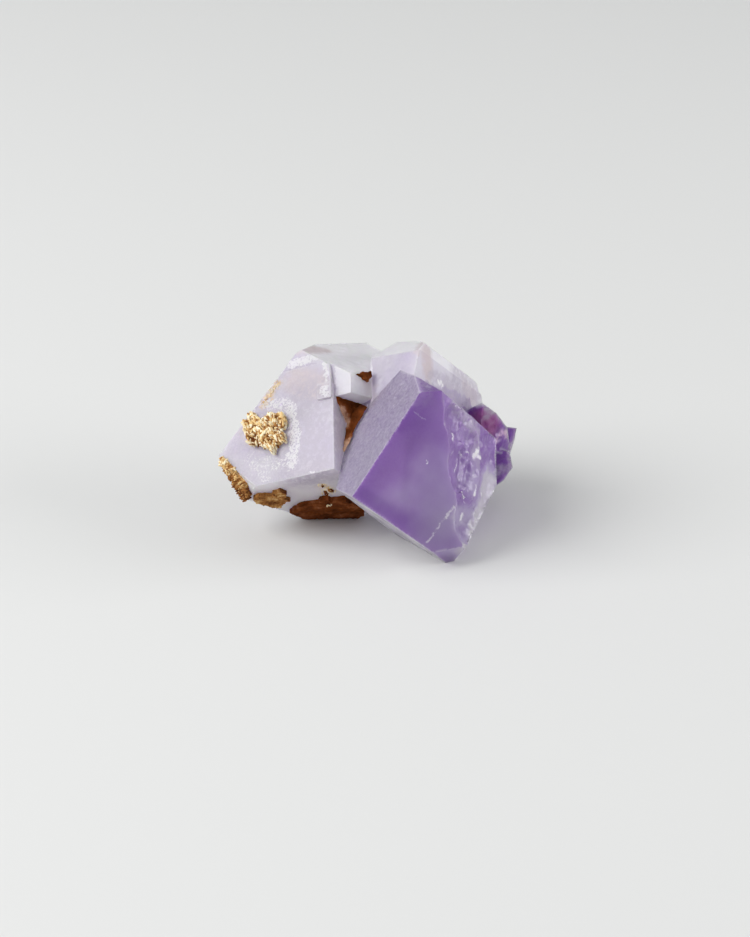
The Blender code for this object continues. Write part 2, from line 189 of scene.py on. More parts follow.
PALE_PATCHES = {
    "warm": (
        ((-7, 0, 17.4), (-3, 0, 15.4), 3.6, 1), ((-5.8, 1.5, 23.6), (-4.2, 3.6, 24.6), 2.6, 1),
        ((14.6, 6, 20.6), (14.1, 8, 17), 2.4, 1), ((14.6, 3.6, 19), (14.6, 4.4, 21), 1.2, 0.8),
        ((-9, 6, 0), (-3, 5, 0), 7, 0.45), ((3.4, 4.6, 15.5), (4.2, 4.8, 13.6), 2.6, 0.55),
        ((1, 2, 11), (1, 2, 2), 2.2, 0.3), ((14.4, 20.5, 19.4), (14.2, 24.6, 17.8), 1.8, 0.6),
    ),
    "rust": (
        ((0, 3, 12.8), (0, 4.9, 9.6), 0.9, 0.75), ((-13.9, 0, 14.4), (-10.6, 0, 18), 1.1, 0.9),
        ((-16, 0, 10.5), (-10.5, 0, 8.2), 3.4, 0.2), ((-5.7, 6, 0), (-6.2, 8.6, 0), 1.8, 0.35),
    ),
    "rose": (((0, 4.6, 8.4), (0, 3.6, 5.6), 0.8, 0.9),),
    "chalk": (
        ((-8.4, 0, 12.6), (-7.5, 0, 8), 2, 1), ((-7.5, 0, 8), (-8.2, 0, 2.6), 2, 1),
        ((-13.5, 0, 3.6), (-8.8, 0, 3), 2.6, 0.75), ((-16.5, 0, 5), (-13.5, 0, 1.6), 2.2, 0.75),
        # The patch from (14, 11.8, 16.9) to (13.9, 13.4, 16.7) is a painted glint on the ridge.
        ((-13.2, 0, 14.6), (-8.4, 0, 13.6), 1.8, 0.9), ((14, 11.8, 16.9), (13.9, 13.4, 16.7), 0.8, 1.15),
        ((-1.1, -0.4, 13.8), (-1.6, -0.4, 14.6), 1.5, 1.1),
        ((-8.6, 0.35, 20.9), (-3.6, 0.35, 21.2), 1.3, 1.1), ((-1.6, 0.35, 19.8), (-1.2, 0, 16.4), 0.9, 1.1),
        ((-4.8, 0, 0.25), (-0.6, 0, 0.2), 0.5, 1),
    ),
    "grey": (
        ((-5.5, 0, 1), (-4.5, 0, 12.5), 8, 0.8), ((14.6, 17, 20.4), (14.5, 25, 18.6), 3, 0.55),
        ((14, 14.5, 17), (13.9, 22, 17), 2, 0.55), ((14.2, 9, 17), (14.2, 20, 18.4), 1.6, 0.6),
    ),
    "mauve": (
        ((13.9, 14.2, 15.6), (14, 22.5, 16.2), 1.9, 1.15), ((13.6, 8, 14.6), (13.8, 13.6, 15.6), 1.1, 0.9),
    ),
    "deep": (((13.8, 22.6, 16.4), (15.4, 21.5, 14.5), 1.5, 1.1),),
}
SPLINTER_PATCHES = {
    "deep": (
        ((16.9, 14, 25.6), (17.4, 14, 24.6), 1.4, 1), ((25.4, 13.4, 22.6), (28.7, 15.2, 19.5), 1.5, 1),
    ),
    "grey": (
        ((18.6, 13.2, 27.2), (19.6, 13, 26.6), 1.3, 0.9), ((19, 12.6, 24.2), (20.2, 12.6, 26.6), 0.7, 0.7),
        ((28.4, 16, 24.8), (29.4, 15.6, 20.6), 1.2, 0.8), ((29, 15.2, 19.4), (29.4, 15.4, 17.6), 1.6, 0.7),
    ),
    "pink": (
        ((24.2, 13.1, 24.8), (25.4, 13.7, 25.2), 1.2, 0.9), ((22.6, 12, 23.2), (24, 13, 23.4), 1, 0.8),
    ),
}

# Thin dull lines on the pale crystals, written as the cracks are. The first two are a painted shadow under
# the ledge step; the last two are faint cracks.
SEAMS_AND_SHADOW_LINES = (
    ((-9.9, 0.35, 19.8), (-6.9, 0.35, 20.1), 0.26, 0.75),
    ((-6.9, 0.35, 20.1), (-3.4, 0.35, 19.8), 0.22, 0.65),
    ((-4.2, 0, 3.4), (-1.2, 0, 0.5), 0.16, 0.35),
    ((-6, 0, 2), (-2.2, 0, 1.3), 0.16, 0.3),
)

# Where the splinters turn magenta in the pale lattice, and how far around.
MAGENTA_MIDDLE = (17, 22.6, 12.2)
MAGENTA_REACH = 4.2
MAUVE_DEPTH = 0.42
# The violet that the painted glow lightens towards.
PAINTED_GLOW_DEPTH = 0.2

# What the colours on the corners hold.
CORNER_COLOURS = (
    # The edge part is a painted highlight on sharp edges, and the violet part carries the painted glow.
    ("growth", ("violet", "frost", "flake", "edge")),
    # The chalk part holds one painted glint.
    ("stain", ("warm", "magenta", "rust", "chalk")),
    ("bloom", ("grey", "pink", "strip", "rose")),
)

# Colours by depth of violet, between the palest and the deepest, and the
# colours that lie over them.
BANDS = (
    (0.14, (0.72, 0.69, 0.76)),
    (0.25, (0.58, 0.54, 0.62)),
    (0.36, (0.44, 0.36, 0.57)),
    (0.64, (0.245, 0.12, 0.405)),
)
WARM = (0.62, 0.52, 0.52, 1)
MAGENTA = (0.36, 0.09, 0.26, 1)
GREY = (0.42, 0.37, 0.46, 1)
PINK = (0.74, 0.5, 0.66, 1)
ROSE = (0.6, 0.42, 0.52, 1)
STRIP = (0.27, 0.25, 0.31, 1)
FROST = (0.86, 0.84, 0.88, 1)
SPECKLE = (0.8, 0.78, 0.84, 1)
DARK = (0.26, 0.17, 0.36, 1)
FLAKE = (0.66, 0.62, 0.74, 1)
RUST = (0.78, 0.55, 0.26, 1)
# Colour of the faint cracks and of the painted ledge shadow.
SEAM_AND_SHADOW = (0.42, 0.36, 0.46, 1)
WHITE = (0.93, 0.91, 0.93, 1)

# Small brown specks on the pale crystal's lower face: across, away and size;
# cream grains on the foot crust: across, up and size; and grains by the pocket.
SPECKS = ((-5.5, 5.4, 0.75), (-6.5, 8.5, 1.1), (-5.4, 8, 1), (-9.3, 13.2, 0.5))
FOOT_GRAINS = ((-8.4, -12.1, 0.45), (-8, -12, 0.55), (-7.5, -12, 0.4))
POCKET_GRAINS = ((3, 4.75, 11.5), (3.3, 4.85, 11.9), (2.7, 4.6, 10.9))

# The camera's lens, place and tilt, and the two soft lamps.
LENS = 102.97
VIEWPOINT = (0.000972, -0.402723, 0.225)
VIEW_TILT = 62
LAMPS = (("key", 0.7, (-0.71, -0.18, 0.6)), ("bounce", 0.5, (0.72, -0.1, 0.16)))


def turned(corner, turn):
    """A lattice as one matrix, from millimetres and degrees."""
    angles = [math.radians(angle) for angle in turn]
    return Matrix.Translation(Vector(corner) * MM) @ Euler(angles).to_matrix().to_4x4()


VIOLET = turned(VIOLET_CORNER, VIOLET_TURN)
PALE = turned(PALE_CORNER, PALE_TURN)
INTO_VIOLET = VIOLET.inverted()
INTO_PALE = PALE.inverted()


# ---------------------------------------------------------------- modelling

def alone(piece):
    """Select one piece and nothing else."""
    bpy.ops.object.select_all(action="DESELECT")
    piece.select_set(True)
    bpy.context.view_layer.objects.active = piece


def switch(mode):
    """Go into a mode."""
    bpy.ops.object.mode_set(mode=mode)


def copied(node, name):
    """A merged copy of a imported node, as a new piece."""
    piece = bpy.data.objects.new(name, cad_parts[node].data.copy())
    piece.data.name = name
    piece.data.materials.clear()
    bpy.context.scene.collection.objects.link(piece)
    alone(piece)
    if piece.data.has_custom_normals:
        bpy.ops.mesh.customdata_custom_splitnormals_clear()
    switch("EDIT")
    bpy.ops.mesh.select_all(action="SELECT")
    bpy.ops.mesh.remove_doubles(threshold=MERGE * MM)
    switch("OBJECT")
    return piece


def refine(piece, longest, inside=None):
    """Split the edges longer than a length, and even out the triangles."""
    alone(piece)
    switch("EDIT")
    bpy.ops.mesh.select_mode(type="EDGE")
    for _round in range(12):
        shape = bmesh.from_edit_mesh(piece.data)
        bpy.ops.mesh.select_all(action="DESELECT")
        found = 0
        for edge in shape.edges:
            if edge.calc_length() > longest * MM and (inside is None or inside(edge)):
                edge.select = True
                found += 1
        if not found:
            break
        bmesh.update_edit_mesh(piece.data)
        bpy.ops.mesh.subdivide(number_cuts=1)
        bpy.ops.mesh.select_all(action="SELECT")
        bpy.ops.mesh.quads_convert_to_tris(quad_method="SHORTEST_DIAGONAL", ngon_method="BEAUTY")
        bpy.ops.mesh.beautify_fill(angle_limit=math.radians(0.6))
    switch("OBJECT")


def above(facet, point):
    """How far a lattice point stands past a facet's plane."""
    direction = Vector(facet[0])
    return (point.dot(direction) - facet[1]) / direction.length


def violet_kind(point, outward):
    """The name of the violet facet that a point lies on, or None."""
    depth = {name: above(facet, point) for name, facet in VIOLET_FACETS.items()}
    if max(depth.values()) > OFF_CUBE:
        return None
    for name, facet in VIOLET_FACETS.items():
        if abs(depth[name]) < ON_PLANE and outward.dot(Vector(facet[0]).normalized()) > FACING:
            return name
    return "scoop" if max(depth.values()) < MERGE else None


def fractured(edge):
    """Whether a mesh's edge lies on the fractured side or near its splinters."""
    inside = INTO_VIOLET @ ((edge.verts[0].co + edge.verts[1].co) / 2) / MM
    return above(VIOLET_FACETS["side"], inside) > -0.4 and inside.y < 15 and inside.x > 3


def look_of(centre, normal):
    """A facet's kind and its finish."""
    if centre.z < ON_TABLE * MM and normal.z < -0.99:
        return "ground", GROUND_FACET
    in_violet = INTO_VIOLET @ centre / MM
    kind = violet_kind(in_violet, INTO_VIOLET.to_3x3() @ normal)
    if kind:
        return "violet_" + kind, SCOOP_FACET if kind == "scoop" else VIOLET_FACETS[kind][2]
    in_pale = INTO_PALE @ centre / MM
    outward = INTO_PALE.to_3x3() @ normal
    if in_pale.x > 12.5 and in_pale.z < 14.5 and in_pale.y > 17 and outward.x < 0.97:
        return "splinter", SPLINTER_FACET
    if outward.y < -FACING:
        if in_pale.x < 0:
            return "front", FRONT_FACET
        return "cube", SHADED_FACET if in_pale.x > 5 else STEP_FACET
    if max(abs(outward.x), abs(outward.y), abs(outward.z)) > FACING:
        return "cube", CUBE_FACET
    return "break", RIDGE_FACET if outward.x > 0.95 else BREAK_FACET


def terraces(point):
    """Stepped relief from 0 to 1, as a cleaved surface has."""
    wave = noise.noise(point) + 0.5 * noise.noise(point * 2.3) + 0.5
    steps = math.floor(wave * 4) / 4
    return 0.65 * steps + 0.35 * wave


def frost_of(kind, place, base):
    """How rough and whitish a facet is at a point."""
    if kind != "front":
        return base
    inside = INTO_PALE @ place / MM
    left = smooth_step(4.5, 9.5, -inside.x)
    return 0.12 + 0.7 * left


def relief(place, kind, look, settings):
    """How far a point inside a facet moves out, in millimetres."""
    _violet, frost, _flake, height, cell = look
    if kind == "ground" or height == 0:
        return 0
    point = place / MM
    if kind in STEPPED:
        return settings.relief * (height * (terraces(point / cell) - 1) + folded(kind, place))
    frosting = frost_of(kind, place, frost)
    grain = noise.noise(point / cell) + 0.8 * noise.noise(point * 2.6 / cell)
    return settings.relief * height * (grain - 0.8) * (0.3 + 1.7 * frosting)


def reach_to(point, start, end):
    """How far a point is from a line between two places."""
    start, along = Vector(start), Vector(end) - Vector(start)
    part = (point - start).dot(along) / along.length_squared
    return (point - start - along * min(1, max(0, part))).length


def folded(kind, place):
    """The height of the folds of the fractured side at a point."""
    if not kind.startswith("violet"):
        return 0
    inside = INTO_VIOLET @ place / MM
    inside += 0.5 * noise.noise_vector(inside * 0.8)
    heights = [height * max(0, 1 - reach_to(inside, start, end) / width)
               for start, end, height, width in FOLDS]
    return max(heights) + min(heights)


def battered(place):
    """How much deeper an edge is worn at a point, in millimetres."""
    depth = 0
    for into, worn_edges in ((INTO_PALE, BATTERED), (INTO_VIOLET, CHIPPED)):
        inside = into @ place / MM
        for start, end, most, width in worn_edges:
            near = max(0, 1 - reach_to(inside, start, end) / width)
            ragged = 0.5 + noise.noise(inside * 1.1) + 0.4 * noise.noise(inside * 2.7)
            depth = max(depth, most * near * ragged)
    return depth


def roughen(piece, settings):
    """Give every facet its relief, wear the edges between facets and mark the sharp ones for a painted
    highlight.
    """
    shape = bmesh.new()
    shape.from_mesh(piece.data)
    shape.normal_update()
    finish = {face: look_of(face.calc_center_median(), face.normal) for face in shape.faces}
    moves = {}
    edge_light = {}
    for vertex in shape.verts:
        faces = vertex.link_faces
        if not faces or vertex.co.z < ON_TABLE * MM:
            continue
        normal = sum((face.normal * face.calc_area() for face in faces), Vector()).normalized()
        spread = min(normal.dot(face.normal) for face in faces)
        kinds = {finish[face][0] for face in faces}
        if "violet_dark" in kinds and kinds <= UNWORN and len(kinds) > 1:
            moves[vertex] = Vector()
        elif spread > SOFT_EDGE:
            kind, look = finish[faces[0]]
            moves[vertex] = normal * relief(vertex.co, kind, look, settings) * MM
        else:
            chip = noise.noise(vertex.co / (1.3 * MM)) + 0.6 * noise.noise(vertex.co / (0.45 * MM))
            worn = settings.edge_wear * (0.45 + 1.3 * max(0, chip)) + battered(vertex.co) * MM
            moves[vertex] = -normal * worn
            # Sharp edges get a painted highlight.
            edge_light[vertex] = float(spread < HARD_EDGE)
    paint(shape, finish, edge_light)
    for vertex, move in moves.items():
        vertex.co += move
        vertex.co.z = max(vertex.co.z, 0)
    shape.to_mesh(piece.data)
    shape.free()


def smooth_step(low, high, value):
    """0 below low, 1 above high, and a smooth rise between."""
    part = min(1, max(0, (value - low) / (high - low)))
    return part * part * (3 - 2 * part)


def violet_depth(kind, inside, base):
    """How deep the violet is at a point of the violet lattice."""
    if kind == "violet_dark":
        left = 1 - smooth_step(0.5, 8, inside.x)
        low = 1 - smooth_step(0.3, 6, inside.z)
        high = smooth_step(10, 22, inside.z)
        fade = 0.1 * smooth_step(9, 19, inside.x + 0.35 * inside.z)
        fade_low = 0.08 * (1 - smooth_step(2, 10, inside.z))
        return 0.58 + 0.24 * max(left, 0.5 * low, 0.45 * high) - fade - fade_low
    if kind == "violet_strip":
        return base + 0.13 * smooth_step(6, 19, inside.z) + 0.04
    if kind == "violet_chip":
        return base + 0.5 * smooth_step(0.2, 1, inside.x)
    if kind in BROKEN:
        depth = base + 0.25 * noise.noise(inside / 3.5)
        # Paler low down, a painted glow of light shining through the fractured side, and deeper near the
        # top.
        low = 1 - smooth_step(5, 11, inside.z)
        depth += 0.26 * smooth_step(13, 20, inside.z) - 0.1 * low
        beside = (1 - smooth_step(0.6, 5, inside.y)) * smooth_step(3, 9, inside.z)
        return depth + (0.66 - depth) * beside
    if kind.startswith("violet_"):
        return base + 0.25 * noise.noise(inside / 3.5)
    return base


def splinter_share(inside):
    """How much a point of the pale lattice belongs to the violet splinters."""
    return (smooth_step(11.2, 12.6, inside.x) * smooth_step(16.4, 17.6, inside.y)
            * (1 - smooth_step(14, 15.4, inside.z)))


def patched(patches, inside, tints):
    """Add the patches near a lattice point to its tints."""
    shaken = inside + 0.7 * noise.noise_vector(inside * 0.9) + 0.3 * noise.noise_vector(inside * 2.7)
    for name, places in patches.items():
        for start, end, reach, strength in places:
            gap = reach_to(shaken, start, end)
            if gap < reach:
                here = strength * (1 - smooth_step(0.35 * reach, reach, gap))
                tints[name] = max(tints[name], here)


def tints_at(place, kind, look):
    """A point's tints by name, from its facet, its zone and the patches."""
    in_violet = INTO_VIOLET @ place / MM
    in_pale = INTO_PALE @ place / MM
    on_violet = kind.startswith("violet")
    tints = dict.fromkeys("warm chalk rust deep glow grey pink rose mauve".split(), 0)
    if on_violet:
        patched(VIOLET_PATCHES, in_violet, tints)
    elif kind == "splinter":
        patched(SPLINTER_PATCHES, in_violet, tints)
    elif kind != "ground":
        patched(PALE_PATCHES, in_pale, tints)
    share = 0 if on_violet else splinter_share(in_pale)
    away = (in_pale - Vector(MAGENTA_MIDDLE)).length / MAGENTA_REACH
    violet = violet_depth(kind, in_violet, look[0])
    violet += (SPLINTER_FACET[0] - violet) * share
    violet += (1 - violet) * tints["deep"] + (MAUVE_DEPTH - violet) * tints["mauve"]
    # The painted glow lightens the violet where light shines through.
    tints["violet"] = violet - (violet - PAINTED_GLOW_DEPTH) * tints["glow"]
    tints["grey"] = max(tints["grey"], 0.6 * tints["mauve"])
    tints["frost"] = max(frost_of(kind, place, look[1]), 0.5 * tints["chalk"])
    tints["magenta"] = share - share * smooth_step(0.4, 1, away)
    tints["flake"] = look[2] * (smooth_step(0.6, 3.6, in_violet.y) if kind in BROKEN else 1)
    tints["strip"] = float(kind == "violet_strip")
    return tints


def paint(shape, finish, edge_light):
    """Keep the facets' tints as colours on the corners."""
    layers = [(shape.loops.layers.float_color.new(name), parts) for name, parts in CORNER_COLOURS]
    known = {}
    for face in shape.faces:
        kind, look = finish[face]
        for loop in face.loops:
            point = (loop.vert, kind, look)
            if point not in known:
                known[point] = tints_at(loop.vert.co, kind, look)
                # A painted highlight on sharp edges.
                known[point]["edge"] = edge_light.get(loop.vert, 0)
            for layer, parts in layers:
                loop[layer] = [known[point][part] for part in parts]


# ---------------------------------------------------------------- grains

def pebble(name, rings, seed):
    """One small irregular grain, a millimetre across, as a master to copy."""
    bpy.ops.object.select_all(action="DESELECT")
    bpy.ops.mesh.primitive_ico_sphere_add(subdivisions=rings, radius=0.5 * MM, location=(0, 0, 0))
    grain = bpy.context.object
    grain.name = name
    switch("EDIT")
    bpy.ops.mesh.select_all(action="SELECT")
    bpy.ops.transform.vertex_random(offset=0.13 * MM, seed=seed)
    bpy.ops.transform.resize(value=(1.35, 0.6, 0.46))
    switch("OBJECT")
    grain.data.attributes.new("tint", "FLOAT", "POINT")
    return grain


def surface_spots(piece, outward, count, rng):
    """Seeded places on the side of a piece that faces outwards."""
    piece.data.calc_loop_triangles()
    corners = piece.data.vertices
    triangles = []
    areas = []
    for triangle in piece.data.loop_triangles:
        if triangle.normal.dot(outward) > -0.3:
            triangles.append([corners[index].co for index in triangle.vertices])
            areas.append(triangle.area)
    spots = []
    for low, mid, high in rng.choices(triangles, weights=areas, k=count):
        along, across = rng.random(), rng.random()
        if along + across > 1:
            along, across = 1 - along, 1 - across
        spots.append(low + (mid - low) * along + (high - low) * across)
    return spots


def scatter(masters, spots, sizes, rng, tones, outward=None):
    """Copy the master grains to the spots, each turned and sized its own way.

    Grains with an outward direction stand up along it, like a tuft.
    """
    made = []
    for spot in spots:
        master = rng.choice(masters)
        grain = bpy.data.objects.new(master.name, master.data.copy())
        bpy.context.scene.collection.objects.link(grain)
        turn = Euler([rng.uniform(0, math.tau) for _axis in range(3)]).to_matrix()
        if outward is not None:
            lean = (outward + Vector([rng.gauss(0, 0.45) for _axis in range(3)])).to_track_quat("X", "Z")
            turn = lean.to_matrix() @ Matrix.Rotation(rng.uniform(0, math.tau), 3, "X")
        turn = turn.to_4x4()
        size = sizes[0] + (sizes[1] - sizes[0]) * rng.random() ** 1.6
        grain.data.transform(Matrix.Translation(spot) @ turn @ Matrix.Diagonal((size, size, size, 1)))
        tinted(grain, rng.uniform(*tones) + 0.45 * noise.noise(spot / (0.8 * MM)))
        made.append(grain)
    return made


def joined(piece, others):
    """Join other objects into a piece."""
    alone(piece)
    for other in others:
        other.select_set(True)
    bpy.ops.object.join()
    return piece


def drop(objects):
    """Remove helper objects and their meshes."""
    for helper in objects:
        bpy.data.meshes.remove(helper.data)


def face_frame(origin, across, outward):
    """The frame of a pale crystal's face: X across it, Y up it, Z out of it."""
    across = Vector(across).normalized()
    outward = Vector(outward).normalized()
    columns = Matrix((across, outward.cross(across), outward)).transposed()
    return PALE @ Matrix.Translation(Vector(origin) * MM) @ columns.to_4x4()


FRONT_FACE = face_frame((0, 0, 0), (1, 0, 0), (0, -1, 0))
LOWER_FACE = face_frame((0, 0, 0), (1, 0, 0), (0, 0, -1))
CORNER_FACE = face_frame((-15.3, 0, 0), (-1, 0, 1), (-1, -1, -1))
NOTCH_FACE = face_frame((2.97, 0.8, 0), (1, 2.07, 0), (2.07, -1, 0))


def crust_base(node, name, place, cell, lumps, tone):
    """A crust's body: its solid, sat down on the crystal and made lumpy."""
    piece = copied(node, name)
    refine(piece, cell)
    into = place.inverted()
    outward = (place.to_3x3() @ Vector((0, 0, 1))).normalized()
    for vertex in piece.data.vertices:
        local = into @ vertex.co / MM
        spot = local / 0.9
        if local.z < GAP + 0.02:
            local.z = -SUNK
        else:
            local.z += lumps * (noise.noise(spot * 1.4) + 0.6 * noise.noise(spot * 3.1))
        flat = Vector((local.x, local.y, 0))
        jag = noise.noise_vector(flat * 1.1) + 0.6 * noise.noise_vector(flat * 2.9)
        local.x += RAGGED * jag.x
        local.y += RAGGED * jag.y
        vertex.co = place @ (local * MM)
        vertex.co.z = max(vertex.co.z, 0)
    tinted(piece, tone)
    for value, vertex in zip(piece.data.attributes["tint"].data, piece.data.vertices):
        spot = vertex.co / (1.7 * MM)
        value.value += 0.35 * noise.noise(spot) + 0.2 * noise.noise(spot * 2.6)
    return piece, outward


def lighten_upwards(piece, most):
    """Lighten a mesh's tint towards its upper end."""
    heights = [vertex.co.z for vertex in piece.data.vertices]
    low, high = min(heights), max(heights)
    for value, height in zip(piece.data.attributes["tint"].data, heights):
        value.value += most * smooth_step(0.3, 1, (height - low) / (high - low))


def tinted(piece, tone):
    """Give a whole mesh one tint, from 0, dark, to 1, cream."""
    tint = piece.data.attributes.get("tint") or piece.data.attributes.new("tint", "FLOAT", "POINT")
    tint.data.foreach_set("value", [tone] * len(piece.data.vertices))


# ---------------------------------------------------------------- materials

def new_node(tree, kind, **values):
    """Add a node with some of its settings."""
    made = tree.nodes.new(kind)
    for name, value in values.items():
        setattr(made, name, value)
    return made


def put(made, **values):
    """Set or link a node's inputs, by place, as i0, or by name, as Base_Color."""
    for name, value in values.items():
        socket = made.inputs[int(name[1:]) if name[1:].isdigit() else name.replace("_", " ")]
        if isinstance(value, bpy.types.NodeSocket):
            made.id_data.links.new(value, socket)
        else:
            socket.default_value = value
    return made


def reckon(tree, operation, first, second=0, third=0, clamp=False):
    """A Math node's result."""
    made = new_node(tree, "ShaderNodeMath", operation=operation, use_clamp=clamp)
    return put(made, i0=first, i1=second, i2=third).outputs[0]


def times(tree, first, second):
    """Two values multiplied."""
    return reckon(tree, "MULTIPLY", first, second)


def vectors(tree, operation, **values):
    """A Vector Math node's outputs."""
    return put(new_node(tree, "ShaderNodeVectorMath", operation=operation), **values).outputs


def blend(tree, amount, below, over):
    """One colour laid over another."""
    made = new_node(tree, "ShaderNodeMix", data_type="RGBA")
    return put(made, i0=amount, i6=below, i7=over).outputs[2]


def cloud(tree, vector, scale, detail, roughness=0.6):
    """A noise texture's value."""
    made = new_node(tree, "ShaderNodeTexNoise")
    return put(made, Vector=vector, Scale=scale, Detail=detail, Roughness=roughness).outputs[0]


def ramp(tree, value, low, high, start=0, end=1):
    """A smooth rise of a value from start to end."""
    made = new_node(tree, "ShaderNodeMapRange", interpolation_type="SMOOTHSTEP")
    return put(made, i0=value, i1=low, i2=high, i3=start, i4=end).outputs[0]


def lattice_coordinates(tree, corner, turn):
    """Places in a lattice, in millimetres."""
    where = new_node(tree, "ShaderNodeTexCoord").outputs["Object"]
    made = new_node(tree, "ShaderNodeMapping", vector_type="TEXTURE")
    return put(made, Vector=where, Location=Vector(corner) * MM,
               Rotation=[math.radians(angle) for angle in turn], Scale=(MM, MM, MM)).outputs[0]


def crack_group():
    """A node group that marks a thin line between two points."""
    name = "crack line"
    if name in bpy.data.node_groups:
        return bpy.data.node_groups[name]
    tree = bpy.data.node_groups.new(name, "ShaderNodeTree")
    for label in ("Vector", "Start", "End"):
        tree.interface.new_socket(label, in_out="INPUT", socket_type="NodeSocketVector")
    tree.interface.new_socket("Width", in_out="INPUT", socket_type="NodeSocketFloat")
    tree.interface.new_socket("Mask", in_out="OUTPUT", socket_type="NodeSocketFloat")
    given = new_node(tree, "NodeGroupInput").outputs
    along = vectors(tree, "SUBTRACT", i0=given["End"], i1=given["Start"])[0]
    away = vectors(tree, "SUBTRACT", i0=given["Vector"], i1=given["Start"])[0]
    shadow = vectors(tree, "DOT_PRODUCT", i0=away, i1=along)[1]
    whole = vectors(tree, "DOT_PRODUCT", i0=along, i1=along)[1]
    part = reckon(tree, "DIVIDE", shadow, whole, clamp=True)
    nearest = vectors(tree, "SCALE", i0=along, i3=part)[0]
    gap = vectors(tree, "DISTANCE", i0=away, i1=nearest)[1]
    core = times(tree, given["Width"], 0.35)
    mask = ramp(tree, gap, core, given["Width"], 1, 0)
    put(new_node(tree, "NodeGroupOutput"), i0=mask)
    return tree


def crack_marks(tree, lattice, lines):
    """All of a lattice's thin lines as one mask."""
    shaken = new_node(tree, "ShaderNodeTexNoise")
    put(shaken, Vector=lattice, Scale=0.8, Detail=7, Roughness=0.72)
    shift = vectors(tree, "MULTIPLY_ADD", i0=shaken.outputs["Color"], i1=(1.7, 1.7, 1.7), i2=lattice)
    centred = vectors(tree, "SUBTRACT", i0=shift[0], i1=(0.85, 0.85, 0.85))[0]
    total = 0
    for start, end, width, strength in lines:
        made = new_node(tree, "ShaderNodeGroup")
        made.node_tree = crack_group()
        put(made, i0=centred, i1=start, i2=end, i3=width)
        total = reckon(tree, "MAXIMUM", total, times(tree, made.outputs[0], strength))
    return total


def new_material(name):
    """An empty material, its tree and its shader."""
    made = bpy.data.materials.new(name)
    made.use_nodes = True
    return made, made.node_tree, made.node_tree.nodes["Principled BSDF"]


def attribute(tree, name):
    """An attribute node's outputs."""
    return new_node(tree, "ShaderNodeAttribute", attribute_name=name).outputs


def channels(tree, name):
    """The four parts of a colour that is kept on the corners."""
    kept = attribute(tree, name)
    return (*put(new_node(tree, "ShaderNodeSeparateColor"), i0=kept["Color"]).outputs, kept["Alpha"])


def colour_ramp(tree, value, steps):
    """A colour by value: each step has its place from 0 to 1 and its colour."""
    made = put(new_node(tree, "ShaderNodeValToRGB"), i0=value)
    bands = made.color_ramp.elements
    bands[0].color = (*steps[0][1], 1)
    bands[1].color = (*steps[-1][1], 1)
    for place, colour in steps[1:-1]:
        bands.new(place).color = (*colour, 1)
    return made.outputs[0]


def bumped(tree, shader, height, strength, distance):
    """Let a height roughen a shader's surface, up to a distance."""
    bump = new_node(tree, "ShaderNodeBump")
    put(bump, Strength=strength, Distance=distance * MM, Height=height)
    put(shader, Normal=bump.outputs[0])


